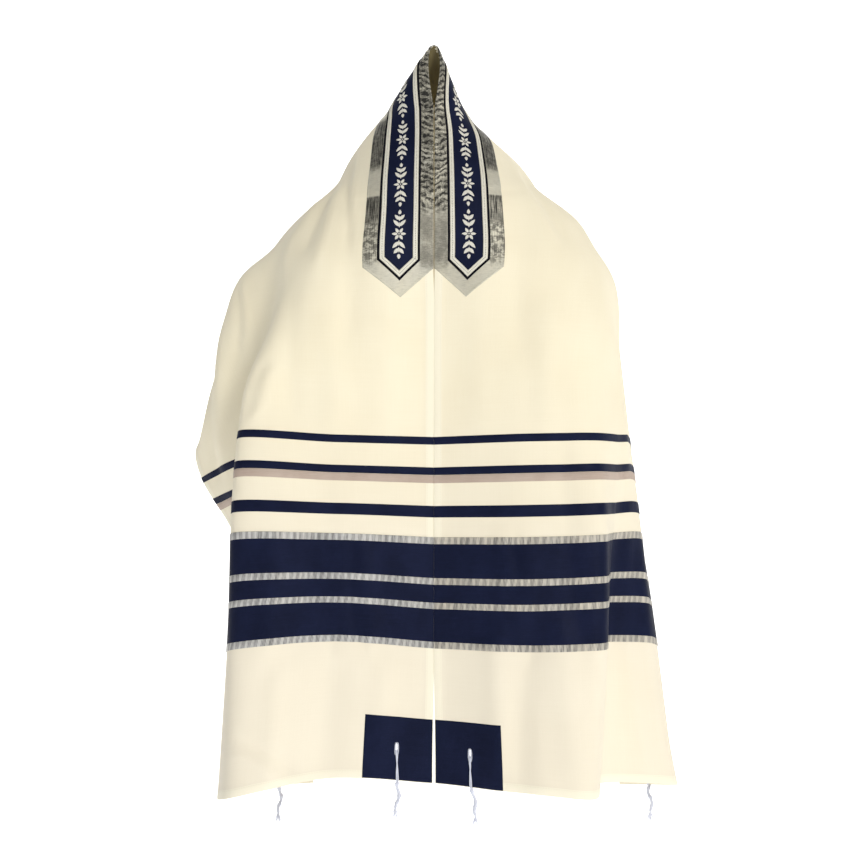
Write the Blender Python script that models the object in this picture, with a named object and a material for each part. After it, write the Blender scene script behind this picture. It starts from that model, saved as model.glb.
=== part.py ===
"""A tallit prayer shawl hung from the middle of its neck edge, filled out as when worn.

The cloth is one rectangle. "Run" is the distance along its long side from the centre of the
neck edge, negative on the -X side, and "across" is the distance from the neck edge to the
long edge at the back. Every piece is laid out in those two flat measures and then carried to
its place on the hung cloth, so bands, neckband and corner patches follow the folds.

Metres, +Z up, the wearer's front towards -Y. The origin is the peak, where the cloth is held.
"""
from collections import namedtuple
from math import atan2, cos, exp, hypot, pi, radians, sin, tan

import bpy
import numpy as np

MM = 0.001

# Driving sizes of the flat cloth, in millimetres
HALF_LENGTH = 1005.0
WIDTH = 500.0
WALL = 1.5
SEAM_GAP = 0.4
HEM_FADE = 14.0
HEM_EXTRA = 0.7
BAND_WALL = 1.0

# Eyelet in each corner: its middle from both edges, and its size
EYELET_ACROSS = 46.0
EYELET_UP = 41.0
EYELET_WIDE = 6.0
EYELET_TALL = 15.0

# Corner patches
PATCH_ACROSS = 88.0
PATCH_UP = 82.0
EDGE_MARGIN = 1.5

# Neckband: a silver base and a navy ribbon, both pointed at the ends
BASE_WIDE_TO = 88.0
BASE_SHOULDER, BASE_POINT = 337.0, 376.0
RIBBON_FROM, RIBBON_MIDDLE, RIBBON_TO = 17.0, 43.0, 69.0
RIBBON_SHOULDER, RIBBON_POINT = 327.0, 354.0
POINT_EDGE = 3.0

# The front edge leaves the peak on a slope and turns to hang plumb over the chest
FRONT_SLOPE = radians(26.2)
CHEST_BEND = (200.0, 330.0)
FRONT_FORWARD = 12.0
EDGE_GAP = 1.0
PEAK_OPENING = 7.0
PEAK_OPEN_TO = 100.0
OPENING_FADE = 16.0

# The peak is a cone, a little flat in front, with its side slopes read at these distances from
# the peak. The cloth lies wholly on it down to CONE_WHOLE and leaves it by CONE_FADE
CONE_REACH = (0.0, 90.0, 150.0, 200.0, 320.0)
CONE_SIDE = {-1: (0.70, 0.73, 0.73, 0.70, 0.76), 1: (0.43, 0.45, 0.58, 0.74, 0.84)}
CONE_DEEP = tan(radians(26.2))
CONE_FLAT_FRONT = 0.1
CONE_TO = 130.0
CONE_WHOLE, CONE_FADE = 60.0, 150.0

Section = namedtuple("Section", "run mid edge hollow arm back")
Stripe = namedtuple("Stripe", "name start end layer slot")
Fold = namedtuple("Fold", "run across wide_run wide_across depth")

# Where each section across the cloth passes: the middle of the front panel, its outer fold,
# the hollow behind that, the outermost cloth over the arm, and the long edge at the back
LEFT_SECTIONS = [
    Section(200, (-80, -82, -188), (-146, -28, -208), (-190, 38, -256), (-200, 84, -352), (-188, 116, -472)),
    Section(300, (-90, -119, -276), (-165, -92, -282), (-207, -40, -282), (-254, 10, -306), (-247, 112, -488)),
    Section(400, (-105, -126, -373), (-205, -107, -375), (-219, -50, -382), (-286, 4, -408), (-289, 98, -522)),
    Section(500, (-125, -130, -471), (-246, -113, -468), (-227, -48, -480), (-297, 2, -508), (-331, 76, -551)),
    Section(560, (-127, -131, -531), (-255, -114, -527), (-228, -48, -547), (-280, 8, -569), (-322, 76, -590)),
    Section(640, (-128, -132, -610), (-262, -115, -609), (-236, -50, -627), (-260, 16, -638), (-284, 72, -652)),
    Section(800, (-130, -133, -765), (-266, -117, -776), (-265, -52, -788), (-255, 14, -798), (-212, 60, -808)),
    Section(1005, (-132, -135, -972), (-272, -119, -1002), (-286, -52, -1012), (-258, 14, -1010), (-165, 38, -1006)),
]
RIGHT_SECTIONS = [
    Section(200, (76, -81, -186), (142, -30, -204), (188, 36, -240), (198, 86, -345), (190, 116, -468)),
    Section(300, (90, -119, -275), (166, -90, -276), (207, -36, -278), (241, 28, -308), (232, 110, -490)),
    Section(400, (100, -129, -371), (186, -117, -372), (224, -78, -376), (248, -6, -400), (254, 92, -524)),
    Section(500, (115, -137, -469), (200, -125, -469), (232, -84, -472), (256, -20, -482), (250, 90, -566)),
    Section(560, (125, -141, -530), (208, -131, -529), (238, -88, -531), (262, -22, -535), (248, 90, -614)),
    Section(640, (130, -147, -612), (216, -137, -610), (237, -84, -611), (271, -25, -613), (253, 84, -678)),
    Section(800, (140, -160, -775), (218, -150, -772), (227, -78, -770), (294, -30, -777), (266, 66, -815)),
    Section(1005, (150, -174, -989), (199, -170, -994), (221, -76, -988), (326, -36, -997), (254, 38, -1008)),
]

# Soft folds in the cloth at the back and over the arms, pushed out along its face
FOLDS = [
    Fold(-400, 480, 34, 60, 10),
    Fold(-300, 480, 36, 110, 18),
    Fold(-195, 450, 34, 170, -13),
    Fold(-105, 470, 36, 180, 22),
    Fold(5, 480, 34, 200, -14),
    Fold(110, 470, 38, 180, 21),
    Fold(205, 450, 34, 170, -13),
    Fold(305, 480, 38, 110, 18),
    Fold(405, 480, 34, 60, 8),
]

# Bands sewn across each end; layer 1 lies on the cloth and layer 2 on the wide band
STRIPES = [
    Stripe("navy_stripe_upper", 556.5, 566.5, 1, "navy_silk"),
    Stripe("navy_stripe_middle", 596.0, 606.2, 1, "navy_silk"),
    Stripe("taupe_stripe", 606.2, 616.5, 1, "taupe_silk"),
    Stripe("navy_stripe_lower", 646.0, 661.0, 1, "navy_silk"),
    Stripe("navy_band", 687.0, 830.0, 1, "navy_silk"),
    Stripe("silver_ribbon_top", 687.0, 696.0, 2, "silver_ribbon"),
    Stripe("silver_ribbon_upper", 740.0, 748.5, 2, "silver_ribbon"),
    Stripe("silver_ribbon_lower", 772.0, 780.0, 2, "silver_ribbon"),
    Stripe("silver_ribbon_bottom", 821.5, 830.0, 2, "silver_ribbon"),
]
STRIPE_INSET = 0.25

# Grid lines of the cloth, in flat millimetres. A line runs along every sewn edge, so that
# each layer has the same facets as the cloth under it
EYELET_LOW = HALF_LENGTH - EYELET_UP - EYELET_TALL / 2
EYELET_HIGH = EYELET_LOW + EYELET_TALL
PATCH_TOP = HALF_LENGTH - PATCH_UP
HEM_LINES = (HEM_FADE, EDGE_MARGIN, 0.0)
PLAIN_RUNS = [14, 42, 80, 120, 160, 200, 230, 260, 290, 412, 455, 500, 530, 865]
NECK_RUNS = [RIBBON_SHOULDER, BASE_SHOULDER, RIBBON_POINT, BASE_POINT]
STRIPE_RUNS = {edge for stripe in STRIPES for edge in (stripe.start, stripe.end)}
CORNER_RUNS = [PATCH_TOP, EYELET_LOW, EYELET_HIGH, *(HALF_LENGTH - line for line in HEM_LINES)]
HALF_RUNS = sorted({*PLAIN_RUNS, *NECK_RUNS, *STRIPE_RUNS, *CORNER_RUNS})
EYELET_SIDES = (EYELET_ACROSS - EYELET_WIDE / 2, EYELET_ACROSS + EYELET_WIDE / 2)
NECK_SIDE = [0.0, EDGE_MARGIN, RIBBON_FROM, *EYELET_SIDES, RIBBON_TO, PATCH_ACROSS]
MIDDLE_STEPS = 12

SILVER = (0.36, 0.36, 0.33)
COLOURS = {
    "cream_wool": ((0.84, 0.78, 0.64), 0.8, 0.0),
    "navy_silk": ((0.012, 0.016, 0.05), 0.45, 0.0),
    "taupe_silk": ((0.48, 0.38, 0.33), 0.5, 0.0),
    "silver_ribbon": (SILVER, 0.4, 0.3),
    "silver_brocade": (SILVER, 0.5, 0.3),
    "tassel_cord": ((0.82, 0.82, 0.84), 0.7, 0.0),
}


def smooth(x):
    """Rises smoothly from 0 to 1 as x goes from 0 to 1."""
    x = np.clip(x, 0.0, 1.0)
    return x * x * (3 - 2 * x)


def spline(knots, points, at):
    """A smooth curve through points at their knots, read at the values in at."""
    knots = np.asarray(knots, float)
    points = np.asarray(points, float).reshape(len(knots), -1)
    at = np.atleast_1d(np.asarray(at, float))
    gaps = np.diff(knots)
    slopes = np.diff(points, axis=0) / gaps[:, None]
    tangents = np.empty_like(points)
    tangents[0], tangents[-1] = slopes[0], slopes[-1]
    share = (gaps[:-1] / (gaps[:-1] + gaps[1:]))[:, None]
    tangents[1:-1] = slopes[:-1] * (1 - share) + slopes[1:] * share
    cell = np.clip(np.searchsorted(knots, at, side="right") - 1, 0, len(gaps) - 1)
    gap = gaps[cell][:, None]
    u = ((at - knots[cell]) / gaps[cell])[:, None]
    return (
        points[cell] * (2 * u**3 - 3 * u**2 + 1)
        + tangents[cell] * gap * (u**3 - 2 * u**2 + u)
        + points[cell + 1] * (3 * u**2 - 2 * u**3)
        + tangents[cell + 1] * gap * (u**3 - u**2)
    )


def front_edge(run):
    """The point of the neck edge at that run: down the slope from the peak, then plumb."""
    side = -1 if run < 0 else 1
    length = abs(run)
    steps = np.linspace(0.0, length, 120)
    slope = FRONT_SLOPE * (1 - smooth((steps - CHEST_BEND[0]) / (CHEST_BEND[1] - CHEST_BEND[0])))
    step = length / (len(steps) - 1)
    forward = step * (np.sin(slope)[:-1] + np.sin(slope)[1:]).sum() / 2
    down = step * (np.cos(slope)[:-1] + np.cos(slope)[1:]).sum() / 2
    forward += FRONT_FORWARD * smooth((length - CHEST_BEND[1]) / (HALF_LENGTH - CHEST_BEND[1]))
    opening = PEAK_OPENING * sin(pi * min(1.0, length / PEAK_OPEN_TO) ** 0.6)
    return np.array([side * (EDGE_GAP + opening) if length else 0.0, -forward, -down])


def cone_point(run, across):
    """Where the flat cloth lies on the cone of the peak."""
    side = -1 if run < 0 else 1
    reach = hypot(run, across)
    around = 2 * atan2(across, abs(run))
    around -= CONE_FLAT_FRONT * sin(2 * around)
    sideways = np.interp(reach, CONE_REACH, CONE_SIDE[side])
    way = np.array([side * sin(around) * sideways, -cos(around) * CONE_DEEP, -1.0])
    return way / np.linalg.norm(way) * reach


def on_peak(run, across, point):
    """Near the peak the cloth lies on the cone itself, shifted there by the front opening."""
    kept = smooth((hypot(run, across) - CONE_WHOLE) / (CONE_FADE - CONE_WHOLE))
    if kept >= 1:
        return point
    opened = front_edge(run) - cone_point(run, 0.0)
    whole = cone_point(run, across) + opened * exp(-across / OPENING_FADE)
    return whole * (1 - kept) + point * kept


def all_sections():
    """Every section from one end of the cloth to the other: its run and its guide points."""
    found = []
    for table, side in ((LEFT_SECTIONS, -1), (RIGHT_SECTIONS, 1)):
        for row in table:
            found.append((side * row.run, [row.mid, row.edge, row.hollow, row.arm, row.back]))
    shares = (0.2, 0.4, 0.6, 0.8, 1.0)
    for run in (-CONE_TO, -CONE_TO / 2, 0.0, CONE_TO / 2, CONE_TO):
        guides = [cone_point(run, WIDTH * share) for share in shares]
        found.append((run, [hang_plumb(point) for point in guides]))
    return sorted(found, key=lambda section: section[0])


def hang_plumb(point):
    """Below the shoulders the cloth at the back hangs plumb instead of spreading further."""
    shoulder_drop, spread_left = -235.0, 0.42
    below = min(0.0, point[2] - shoulder_drop)
    if not below:
        return point
    kept = (shoulder_drop + below * spread_left) / point[2]
    slack = hypot(point[0], point[1]) * (1 - kept)
    return np.array([point[0] * kept, point[1] * kept, point[2] - slack * 0.2])


def section_lines(runs, across):
    """Points of the hung cloth on the grid of runs and distances across."""
    sections = all_sections()
    knots = [run for run, _ in sections]
    guides = np.array([points for _, points in sections], float)
    carried = spline(knots, guides.reshape(len(knots), -1), runs).reshape(len(runs), 5, 3)
    rows = []
    for run, points in zip(runs, carried):
        line = np.vstack([front_edge(run), points])
        chords = np.concatenate([[0.0], np.cumsum(np.linalg.norm(np.diff(line, axis=0), axis=1))])
        fine = spline(chords, line, np.linspace(0.0, chords[-1], 240))
        lengths = np.concatenate([[0.0], np.cumsum(np.linalg.norm(np.diff(fine, axis=0), axis=1))])
        wanted = np.asarray(across) / WIDTH * lengths[-1]
        row = np.stack([np.interp(wanted, lengths, fine[:, k]) for k in range(3)], axis=1)
        rows.append([on_peak(run, beyond, point) for beyond, point in zip(across, row)])
    return np.array(rows)


def face_ways(points, runs, across):
    """The outward direction at every grid point."""
    along = np.gradient(points, runs, axis=0)
    over = np.gradient(points, across, axis=1)
    ways = np.cross(along, over)
    return ways / np.linalg.norm(ways, axis=2, keepdims=True)


def fold_depths(runs, across):
    """How far the soft folds push the cloth out at every grid point."""
    runs, across = np.meshgrid(runs, across, indexing="ij")
    depth = np.zeros_like(runs)
    for fold in FOLDS:
        beside = (runs - fold.run) / fold.wide_run
        beyond = (across - fold.across) / fold.wide_across
        depth += fold.depth * np.exp(-beside**2 - np.minimum(beyond, 0.0) ** 2 * 2)
    return depth


def grid_runs():
    return np.array([-run for run in reversed(HALF_RUNS)] + [0.0] + HALF_RUNS, float)


def grid_across():
    back_side = [WIDTH - d for d in reversed(NECK_SIDE)]
    middle = np.linspace(NECK_SIDE[-1], back_side[0], MIDDLE_STEPS + 2)[1:-1]
    return np.array([*NECK_SIDE, *middle, *back_side], float)


class Cloth:
    """The hung cloth: its inner face on the grid, and any layer above it."""

    def __init__(self):
        self.runs, self.across = grid_runs(), grid_across()
        bare = section_lines(self.runs, self.across)
        ways = face_ways(bare, self.runs, self.across)
        self.points = bare + ways * fold_depths(self.runs, self.across)[:, :, None]
        self.ways = face_ways(self.points, self.runs, self.across)

    def at(self, run, across, height):
        """A point that far above the inner face, on the flat facets between grid lines."""
        i = int(np.clip(np.searchsorted(self.runs, run, side="right") - 1, 0, len(self.runs) - 2))
        j = int(np.clip(np.searchsorted(self.across, across, side="right") - 1, 0, len(self.across) - 2))
        u = (run - self.runs[i]) / (self.runs[i + 1] - self.runs[i])
        v = (across - self.across[j]) / (self.across[j + 1] - self.across[j])
        raised = self.points[i:i + 2, j:j + 2] + self.ways[i:i + 2, j:j + 2] * height
        if u > v:
            return raised[0, 0] + (raised[1, 0] - raised[0, 0]) * u + (raised[1, 1] - raised[1, 0]) * v
        return raised[0, 0] + (raised[0, 1] - raised[0, 0]) * v + (raised[1, 1] - raised[0, 1]) * u

    def lines_between(self, lines, low, high):
        """The ends and the grid lines between them."""
        inner = [x for x in lines if low + 1e-6 < x < high - 1e-6]
        return [low, *inner, high]


def material(name):
    """The finish of that name, made once."""
    found = bpy.data.materials.get(name)
    if found:
        return found
    colour, roughness, metallic = COLOURS[name]
    made = bpy.data.materials.new(name)
    made.use_nodes = True
    shader = made.node_tree.nodes["Principled BSDF"]
    shader.inputs["Base Color"].default_value = (*colour, 1.0)
    shader.inputs["Roughness"].default_value = roughness
    shader.inputs["Metallic"].default_value = metallic
    made.diffuse_color = (*colour, 1.0)
    return made


def add_object(name, points, faces, slot):
    """A mesh object from points in millimetres."""
    mesh = bpy.data.meshes.new(name)
    mesh.from_pydata([tuple(p) for p in np.asarray(points, float) * MM], [], faces)
    mesh.validate()
    mesh.shade_smooth()
    mesh.set_sharp_from_angle(angle=radians(50))
    mesh.materials.append(material(slot))
    made = bpy.data.objects.new(name, mesh)
    bpy.context.scene.collection.objects.link(made)
    return made


def add_sheet(name, slot, inner, outer, is_hole=lambda i, j: False):
    """A closed wall between two grids of points, with cells left out where there are holes."""
    rows, columns = inner.shape[:2]
    count = rows * columns
    points = np.vstack([inner.reshape(-1, 3), outer.reshape(-1, 3)])
    cells = {(i, j) for i in range(rows - 1) for j in range(columns - 1) if not is_hole(i, j)}
    faces = []

    def number(i, j, layer):
        return i * columns + j + layer * count

    def add(a, b, c, d):
        """Two triangles that meet on the line from a to c."""
        faces.extend([(a, b, c), (a, c, d)])

    for i, j in sorted(cells):
        ring = [(i, j), (i + 1, j), (i + 1, j + 1), (i, j + 1)]
        add(*[number(*corner, 1) for corner in ring])
        below = [number(*corner, 0) for corner in ring]
        add(below[0], below[3], below[2], below[1])
        beside = [(i, j - 1), (i + 1, j), (i, j + 1), (i - 1, j)]
        for k, neighbour in enumerate(beside):
            if neighbour not in cells:
                a, b = ring[k], ring[(k + 1) % 4]
                add(number(*a, 0), number(*b, 0), number(*b, 1), number(*a, 1))
    used = sorted({k for face in faces for k in face})
    new = {old: k for k, old in enumerate(used)}
    return add_object(name, points[used], [tuple(new[k] for k in face) for face in faces], slot)


def is_eyelet(run, across):
    """True inside one of the four corner eyelets."""
    from_edge = min(across, WIDTH - across)
    return EYELET_LOW < abs(run) < EYELET_HIGH and abs(from_edge - EYELET_ACROSS) < EYELET_WIDE / 2


def add_cloth(cloth):
    """The cream rectangle with its turned hem, one piece."""
    near_end = np.abs(cloth.runs)[:, None] >= HALF_LENGTH - EDGE_MARGIN
    near_edge = np.minimum(cloth.across, WIDTH - cloth.across)[None, :] <= EDGE_MARGIN
    hem = np.where(near_end | near_edge, HEM_EXTRA, 0.0)[:, :, None]
    middles = [(a[:-1] + a[1:]) / 2 for a in (cloth.runs, cloth.across)]
    return add_sheet(
        "shawl_cloth", "cream_wool",
        cloth.points - cloth.ways * hem,
        cloth.points + cloth.ways * WALL,
        lambda i, j: is_eyelet(middles[0][i], middles[1][j]),
    )


def layer_heights(layer, wall=BAND_WALL):
    """Inner and outer heights of a sewn layer above the cloth's inner face."""
    low = WALL + SEAM_GAP + (layer - 1) * (BAND_WALL + SEAM_GAP)
    return low, low + wall


def add_patch_of_cloth(cloth, name, slot, layer, runs, across, run_of=None):
    """A layer over that grid of runs and distances; run_of may shift a run at each distance."""
    run_of = run_of or (lambda run, _: run)
    low, high = layer_heights(layer)
    faces = [np.array([[cloth.at(run_of(r, a), a, h) for a in across] for r in runs]) for h in (low, high)]
    middles = [[(x + y) / 2 for x, y in zip(v[:-1], v[1:])] for v in (runs, across)]
    return add_sheet(name, slot, *faces, lambda i, j: is_eyelet(middles[0][i], middles[1][j]))


def add_bands(cloth):
    """The sewn stripes, the wide navy band and its silver ribbons, at both ends."""
    across = cloth.lines_between(cloth.across, EDGE_MARGIN, WIDTH - EDGE_MARGIN)
    for side, word in ((-1, "left"), (1, "right")):
        for stripe in STRIPES:
            ends = (stripe.start + STRIPE_INSET, stripe.end - STRIPE_INSET)
            low, high = sorted(side * end for end in ends)
            runs = cloth.lines_between(cloth.runs, low, high)
            add_patch_of_cloth(cloth, f"{stripe.name}_{word}", stripe.slot, stripe.layer, runs, across)


def pointed(shoulder, point, low, middle, high):
    """Carries the line beyond the shoulder to a point at the ribbon's middle."""
    def run_of(run, across):
        if abs(run) <= shoulder:
            return run
        half_wide = middle - low if across < middle else high - middle
        reach = point - (point - shoulder - POINT_EDGE) * abs(across - middle) / half_wide
        return reach if run > 0 else -reach
    return run_of


def add_neckband(cloth):
    """The silver base along the neck edge, and the navy ribbon on it."""
    pieces = (
        ("neckband_base", "silver_brocade", 1, EDGE_MARGIN, BASE_WIDE_TO, BASE_SHOULDER, BASE_POINT),
        ("neckband_ribbon", "navy_silk", 2, RIBBON_FROM, RIBBON_TO, RIBBON_SHOULDER, RIBBON_POINT),
    )
    for name, slot, layer, low, high, shoulder, point in pieces:
        end = shoulder + POINT_EDGE
        runs = cloth.lines_between(cloth.runs, -end, end)
        across = cloth.lines_between(cloth.across, low, high)
        run_of = pointed(shoulder, point, low, RIBBON_MIDDLE, high)
        add_patch_of_cloth(cloth, name, slot, layer, runs, across, run_of)


def corners():
    """Each corner's name, its side, and whether it is at the neck edge in front."""
    for side, word in ((-1, "left"), (1, "right")):
        for in_front, place in ((True, "front"), (False, "back")):
            yield f"{place}_{word}", side, in_front


def add_patches(cloth):
    """A navy square round the eyelet of each corner."""
    for name, side, in_front in corners():
        start, end = HALF_LENGTH - PATCH_UP, HALF_LENGTH - EDGE_MARGIN
        low, high = sorted((side * start, side * end))
        runs = cloth.lines_between(cloth.runs, low, high)
        near, far = EDGE_MARGIN, PATCH_ACROSS
        if not in_front:
            near, far = WIDTH - far, WIDTH - near
        across = cloth.lines_between(cloth.across, near, far)
        add_patch_of_cloth(cloth, f"corner_patch_{name}", "navy_silk", 1, runs, across)


def tube(path, radii, sides):
    """Points and faces of a closed tube along a path, with a radius at each point."""
    path = np.asarray(path, float)
    ways = np.gradient(path, axis=0)
    ways /= np.linalg.norm(ways, axis=1)[:, None]
    first = np.cross(ways[0], (0.0, 0.0, 1.0) if abs(ways[0][2]) < 0.9 else (1.0, 0.0, 0.0))
    points, faces = [], []
    for place, way, radius in zip(path, ways, radii):
        first = first - way * np.dot(first, way)
        first /= np.linalg.norm(first)
        second = np.cross(way, first)
        for k in range(sides):
            turn = 2 * pi * k / sides
            points.append(place + radius * (first * cos(turn) + second * sin(turn)))
    for i in range(len(path) - 1):
        for k in range(sides):
            a, b = i * sides + k, i * sides + (k + 1) % sides
            faces.append((a, b, b + sides, a + sides))
    last = (len(path) - 1) * sides
    faces.append(tuple(reversed(range(sides))))
    faces.append(tuple(range(last, last + sides)))
    return points, faces


# A corner tassel: a loop through the eyelet, a knotted shank and loose strand ends
LOOP_RADIUS = 1.7
LOOP_CLEAR = 0.8
SHANK_LENGTH = 42.0
SHANK_RADIUS = 1.6
KNOTS = (2.0, 13.0, 23.0, 32.0, 40.0)
KNOT_RADIUS = 1.5
KNOT_HALF = 2.2
STRANDS = 8
STRAND_LENGTH = 20.0
STRAND_RADIUS = 0.7
STRAND_SPREAD = 4.5
TASSEL_SWAY = {"front_left": -1.5, "front_right": 5.0, "back_left": -3.0, "back_right": 3.5}


def tassel_parts(cloth, name, side, in_front):
    """The tubes of one tassel, each as points and faces."""
    across = EYELET_ACROSS if in_front else WIDTH - EYELET_ACROSS
    run = side * (HALF_LENGTH - EYELET_UP)
    top = layer_heights(1)[1] + LOOP_CLEAR + LOOP_RADIUS
    under = -LOOP_CLEAR - LOOP_RADIUS - HEM_EXTRA
    hole = run + side * (EYELET_TALL / 2 - LOOP_RADIUS - 1.0)
    edge = side * HALF_LENGTH
    outside, inside = cloth.at(hole, across, top), cloth.at(hole, across, under)
    low_out, low_in = cloth.at(edge, across, top), cloth.at(edge, across, under)
    down = np.array([0.0, 0.0, -1.0])
    join = (low_out + low_in) / 2 + down * (LOOP_RADIUS + 2.6)
    through = cloth.at(hole, across, (top + under) / 2)
    up_bit = (through - (low_out + low_in) / 2)
    up_bit = up_bit / np.linalg.norm(up_bit)
    loop = spline(
        [0, 1, 2, 3, 3.6, 4.2, 5.2, 6.2, 7.2],
        [join, low_out + down * 0.5, (outside + low_out) / 2, outside - up_bit * 1.0,
         through, inside - up_bit * 1.0,
         (inside + low_in) / 2, low_in + down * 0.5, join],
        np.linspace(0, 7.2, 17),
    )
    yield tube(loop, [LOOP_RADIUS] * len(loop), 5)
    fall = np.linspace(0.0, SHANK_LENGTH, 19)
    sway = TASSEL_SWAY[name]
    shank = [join + down * (f - 3.0) + np.array([sway * (f / SHANK_LENGTH) ** 1.5 +
             0.9 * sin(f * 0.33), 0.5 * sin(f * 0.21), 0.0]) for f in fall]
    radii = [SHANK_RADIUS + KNOT_RADIUS * max(
        (max(0.0, 1 - ((f - knot) / KNOT_HALF) ** 2) for knot in KNOTS)) for f in fall]
    yield tube(shank, radii, 6)
    root = shank[-1]
    for k in range(STRANDS):
        turn = 2 * pi * (k + 0.5) / STRANDS
        out = np.array([cos(turn), sin(turn), 0.0])
        reach = STRAND_SPREAD * (0.75 + 0.25 * cos(3 * turn + sway))
        length = STRAND_LENGTH * (0.88 + 0.12 * sin(5 * turn + sway))
        start = root + out * 1.1 - down * 1.6
        path = [start, start + out * reach * 0.35 + down * length * 0.4,
                start + out * (reach - 1.1) + down * length]
        yield tube(path, [STRAND_RADIUS] * 3, 3)


def add_tassels(cloth):
    """One knotted tassel of cord through each corner eyelet."""
    for name, side, in_front in corners():
        parts = list(tassel_parts(cloth, name, side, in_front))
        whole = add_object(f"tassel_{name}", *parts[1], "tassel_cord")
        others = bpy.data.collections.new(f"tassel_parts_{name}")
        bpy.context.scene.collection.children.link(others)
        for number, (points, faces) in enumerate([parts[0], *parts[2:]]):
            piece = add_object(f"tassel_piece_{name}_{number}", points, faces, "tassel_cord")
            bpy.context.scene.collection.objects.unlink(piece)
            others.objects.link(piece)
            piece.hide_render = True
            piece.display_type = "WIRE"
        union = whole.modifiers.new("join", "BOOLEAN")
        union.operation = "UNION"
        union.operand_type = "COLLECTION"
        union.collection = others


def main():
    for old in list(bpy.data.objects):
        bpy.data.objects.remove(old)
    cloth = Cloth()
    add_cloth(cloth)
    add_bands(cloth)
    add_neckband(cloth)
    add_patches(cloth)
    add_tassels(cloth)


main()
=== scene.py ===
"""Looks of a tallit prayer shawl: a cream rectangle with navy and silver bands, hung from its neck edge.

Every sewn piece is laid out flat, in millimetres: "run" is the distance along the long side from
the middle of the neck edge, negative on the -X side, and "across" is the distance from the neck
edge. The hang carries those flat places to the filled-out shape.
"""
from collections import namedtuple
from math import atan2, cos, exp, hypot, pi, radians, sin, tan

import bpy
import numpy as np
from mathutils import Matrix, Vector


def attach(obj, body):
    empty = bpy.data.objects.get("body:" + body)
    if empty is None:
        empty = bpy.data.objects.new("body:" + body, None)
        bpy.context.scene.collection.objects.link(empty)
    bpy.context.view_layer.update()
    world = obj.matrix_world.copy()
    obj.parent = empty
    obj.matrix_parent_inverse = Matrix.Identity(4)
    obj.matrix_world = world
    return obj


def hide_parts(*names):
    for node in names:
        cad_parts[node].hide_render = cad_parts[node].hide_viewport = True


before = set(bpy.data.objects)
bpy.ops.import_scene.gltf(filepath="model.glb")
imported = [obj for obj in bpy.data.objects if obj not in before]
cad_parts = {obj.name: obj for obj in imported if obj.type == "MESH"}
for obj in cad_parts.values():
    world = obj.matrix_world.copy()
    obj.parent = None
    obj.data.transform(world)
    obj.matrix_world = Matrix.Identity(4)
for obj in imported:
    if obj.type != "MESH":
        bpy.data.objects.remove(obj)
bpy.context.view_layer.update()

MM = 0.001
SHARP = radians(55)

# The flat cut, in millimetres
HALF_LENGTH = 1005.0
WIDTH = 500.0
HEM = 11.0

# Heights above the cloth's inner face
CLOTH_LOW, CLOTH_TOP = 0.25, 1.15
BAND_TOP = 1.75
RIBBON_TOP = 2.2
HEM_RAISE = 0.45

# Bands across each end: distance from the middle of the neck edge
Stripe = namedtuple("Stripe", "name start end finish")
STRIPES = [
    Stripe("navy_stripe_upper", 556.5, 566.5, "navy"),
    Stripe("navy_stripe_middle", 596.0, 606.0, "navy"),
    Stripe("taupe_stripe", 606.3, 616.5, "taupe"),
    Stripe("navy_stripe_lower", 646.0, 661.0, "navy"),
    Stripe("navy_band", 687.0, 830.0, "navy"),
    Stripe("silver_ribbon_top", 686.5, 695.5, "silver"),
    Stripe("silver_ribbon_upper", 739.5, 748.0, "silver"),
    Stripe("silver_ribbon_lower", 771.5, 779.5, "silver"),
    Stripe("silver_ribbon_bottom", 822.0, 830.5, "silver"),
]

# How far every band stops short of the cloth's long edges
STRIPE_EDGE = 0.1

# Neckband: a brocade base and a navy ribbon on it, both pointed at the ends, and a dark sheet of painted
# shade inside the peak
BASE_SIDES = (-0.5, 87.5)
BASE_SHOULDER, BASE_POINT = 337.0, 376.0
RIBBON_SIDES = (16.5, 69.5)
RIBBON_SHOULDER, RIBBON_POINT = 327.0, 354.0
RIBBON_MIDDLE = 43.0
VELVET = 3.0
BRAID = (3.0, 9.1)
SHADE_SHEET_REACH, SHADE_SHEET_WIDTH = 168.0, 84.0

# Corner patches and their eyelets
PATCH_ACROSS = 88.5
PATCH_UP = 82.5
PATCH_EDGE = 0.8
EYELET_ACROSS = 46.5
EYELET_UP = 41.0
EYELET_HOLE = (2.6, 14.0)
EYELET_RIM = 1.7


# How the shawl hangs: the cone of the peak, the neck edge and the sections, as in the solids. Only the gap
# between the front edges differs: they meet below the neckband and stand further apart near the hem.
FRONT_SLOPE = radians(26.2)
CHEST_BEND = (200.0, 330.0)
FRONT_FORWARD = 12.0
BAND_GAP, EDGE_GAP, LOW_GAP = 0.9, 0.06, 1.7
EDGES_MEET, EDGES_PART = (337.0, 40.0), (840.0, 150.0)
PEAK_OPENING = 7.0
PEAK_OPEN_TO = 100.0
OPENING_FADE = 16.0
CONE_REACH = (0.0, 90.0, 150.0, 200.0, 320.0)
CONE_SIDE = {-1: (0.70, 0.73, 0.73, 0.70, 0.76), 1: (0.43, 0.45, 0.58, 0.74, 0.84)}
CONE_DEEP = tan(radians(26.2))
CONE_FLAT_FRONT = 0.1
CONE_TO = 130.0
CONE_WHOLE, CONE_FADE = 60.0, 150.0
SHOULDER_DROP = -235.0
SPREAD_LEFT = 0.42
SLACK_DROP = 0.2
GUIDE_SHARES = (0.2, 0.4, 0.6, 0.8, 1.0)
EDGE_STEPS, LINE_STEPS = 120, 240

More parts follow.
